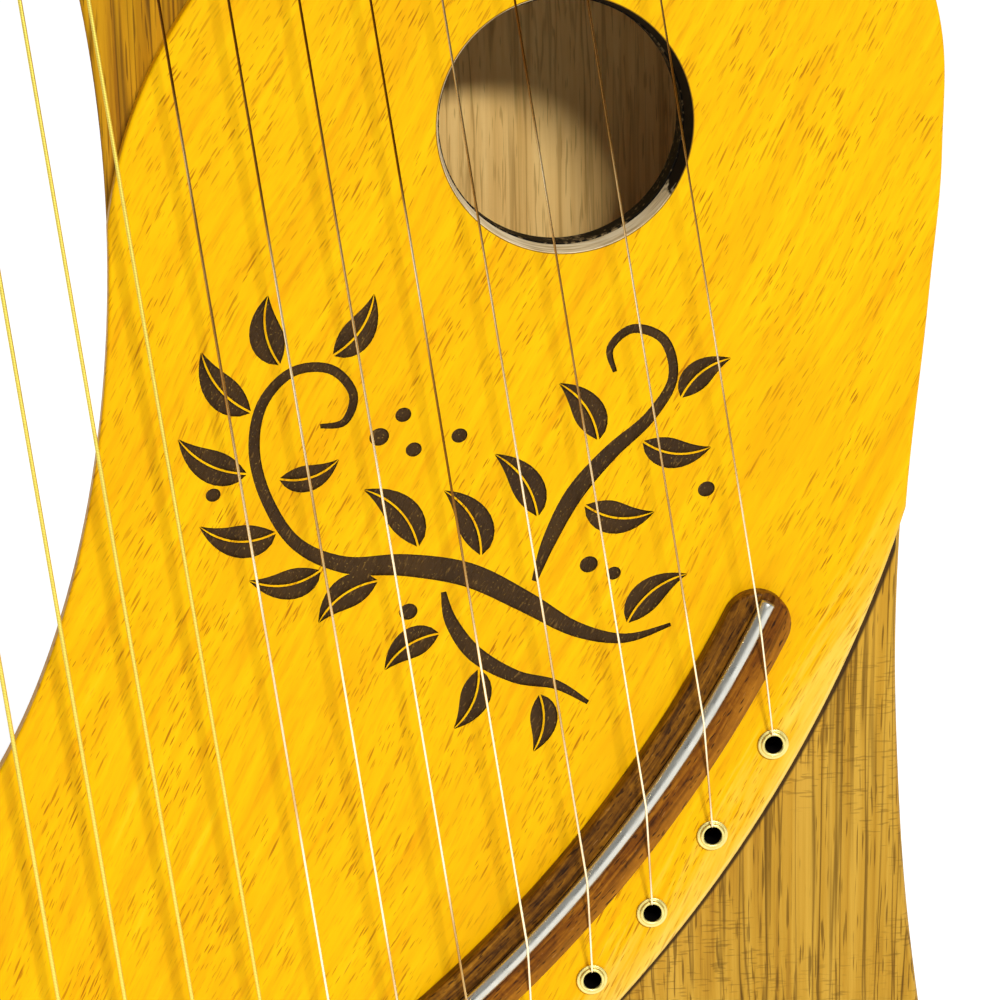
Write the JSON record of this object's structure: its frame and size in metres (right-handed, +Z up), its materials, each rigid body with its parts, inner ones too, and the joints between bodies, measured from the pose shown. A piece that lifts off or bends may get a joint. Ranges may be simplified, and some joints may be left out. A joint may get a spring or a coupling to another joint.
{
  "type": "lyre harp",
  "caption": "Wooden lyre harp with steel and wound strings, turnable tuning pins, yellow leaf-shaped soundboard and a hand window.",
  "frame": {"origin": "centre of the flat foot that the harp stands on", "axes": "+Z up along the strings, -Y out of the soundboard's face, +X towards the shortest strings"},
  "size_m": [0.32, 0.056, 0.46],
  "materials": {
    "walnut": "satin, brown, upright grain",
    "yellow_lacquer": "clear gloss over a golden yellow stain",
    "rosewood": "oiled, dark reddish brown",
    "ebony": "dark, matt",
    "spruce": "bare",
    "nickel": "bright nickel plate",
    "brass": "polished, pale",
    "plain_steel": "drawn wire",
    "wound_bronze": "fine bronze winding"
  },
  "bodies": {
    "harp_body": {"body_frame": "walnut", "back_plate": "walnut", "soundboard": "yellow_lacquer", "hole_ring": "ebony", "board_brace_upper": "spruce", "board_brace_lower": "spruce", "back_brace": "spruce", "bridge": "rosewood", "nut": "rosewood", "saddle_rod": "nickel", "nut_rod": "nickel", "eyelet_01": "brass", "string_01": "plain_steel", "eyelet_02": "brass", "string_02": "plain_steel", "eyelet_03": "brass", "string_03": "plain_steel", "eyelet_04": "brass", "string_04": "plain_steel", "eyelet_05": "brass", "string_05": "plain_steel", "eyelet_06": "brass", "string_06": "plain_steel", "eyelet_07": "brass", "string_07": "plain_steel", "eyelet_08": "brass", "string_08": "plain_steel", "eyelet_09": "brass", "string_09": "wound_bronze", "eyelet_10": "brass", "string_10": "wound_bronze", "eyelet_11": "brass", "string_11": "wound_bronze", "eyelet_12": "brass", "string_12": "wound_bronze", "eyelet_13": "brass", "string_13": "wound_bronze", "eyelet_14": "brass", "string_14": "wound_bronze", "eyelet_15": "brass", "string_15": "wound_bronze", "eyelet_16": "brass", "string_16": "wound_bronze"},
    "tuning_pin_01": {"pin_01": "nickel"},
    "tuning_pin_02": {"pin_02": "nickel"},
    "tuning_pin_03": {"pin_03": "nickel"},
    "tuning_pin_04": {"pin_04": "nickel"},
    "tuning_pin_05": {"pin_05": "nickel"},
    "tuning_pin_06": {"pin_06": "nickel"},
    "tuning_pin_07": {"pin_07": "nickel"},
    "tuning_pin_08": {"pin_08": "nickel"},
    "tuning_pin_09": {"pin_09": "nickel"},
    "tuning_pin_10": {"pin_10": "nickel"},
    "tuning_pin_11": {"pin_11": "nickel"},
    "tuning_pin_12": {"pin_12": "nickel"},
    "tuning_pin_13": {"pin_13": "nickel"},
    "tuning_pin_14": {"pin_14": "nickel"},
    "tuning_pin_15": {"pin_15": "nickel"},
    "tuning_pin_16": {"pin_16": "nickel"}
  },
  "joints": [
    {"name": "tune_01", "type": "hinge", "parent": "harp_body", "child": "tuning_pin_01", "pos_m": [0.08573, -0.018, 0.36418], "axis": [0, 1, 0], "range_deg": [-765, 45]},
    {"name": "tune_02", "type": "hinge", "parent": "harp_body", "child": "tuning_pin_02", "pos_m": [0.0741, -0.018, 0.36868], "axis": [0, 1, 0], "range_deg": [-765, 45]},
    {"name": "tune_03", "type": "hinge", "parent": "harp_body", "child": "tuning_pin_03", "pos_m": [0.06265, -0.018, 0.37312], "axis": [0, 1, 0], "range_deg": [-765, 45]},
    {"name": "tune_04", "type": "hinge", "parent": "harp_body", "child": "tuning_pin_04", "pos_m": [0.05138, -0.018, 0.37749], "axis": [0, 1, 0], "range_deg": [-765, 45]},
    {"name": "tune_05", "type": "hinge", "parent": "harp_body", "child": "tuning_pin_05", "pos_m": [0.04029, -0.018, 0.38178], "axis": [0, 1, 0], "range_deg": [-765, 45]},
    {"name": "tune_06", "type": "hinge", "parent": "harp_body", "child": "tuning_pin_06", "pos_m": [0.02937, -0.018, 0.38601], "axis": [0, 1, 0], "range_deg": [-765, 45]},
    {"name": "tune_07", "type": "hinge", "parent": "harp_body", "child": "tuning_pin_07", "pos_m": [0.01863, -0.018, 0.39017], "axis": [0, 1, 0], "range_deg": [-765, 45]},
    {"name": "tune_08", "type": "hinge", "parent": "harp_body", "child": "tuning_pin_08", "pos_m": [0.00807, -0.018, 0.39426], "axis": [0, 1, 0], "range_deg": [-765, 45]},
    {"name": "tune_09", "type": "hinge", "parent": "harp_body", "child": "tuning_pin_09", "pos_m": [-0.00231, -0.018, 0.39829], "axis": [0, 1, 0], "range_deg": [-765, 45]},
    {"name": "tune_10", "type": "hinge", "parent": "harp_body", "child": "tuning_pin_10", "pos_m": [-0.01252, -0.018, 0.40224], "axis": [0, 1, 0], "range_deg": [-765, 45]},
    {"name": "tune_11", "type": "hinge", "parent": "harp_body", "child": "tuning_pin_11", "pos_m": [-0.02255, -0.018, 0.40613], "axis": [0, 1, 0], "range_deg": [-765, 45]},
    {"name": "tune_12", "type": "hinge", "parent": "harp_body", "child": "tuning_pin_12", "pos_m": [-0.0324, -0.018, 0.40995], "axis": [0, 1, 0], "range_deg": [-765, 45]},
    {"name": "tune_13", "type": "hinge", "parent": "harp_body", "child": "tuning_pin_13", "pos_m": [-0.04208, -0.018, 0.4137], "axis": [0, 1, 0], "range_deg": [-765, 45]},
    {"name": "tune_14", "type": "hinge", "parent": "harp_body", "child": "tuning_pin_14", "pos_m": [-0.05157, -0.018, 0.41738], "axis": [0, 1, 0], "range_deg": [-765, 45]},
    {"name": "tune_15", "type": "hinge", "parent": "harp_body", "child": "tuning_pin_15", "pos_m": [-0.06089, -0.018, 0.42099], "axis": [0, 1, 0], "range_deg": [-765, 45]},
    {"name": "tune_16", "type": "hinge", "parent": "harp_body", "child": "tuning_pin_16", "pos_m": [-0.07004, -0.018, 0.42454], "axis": [0, 1, 0], "range_deg": [-765, 45]}
  ]
}
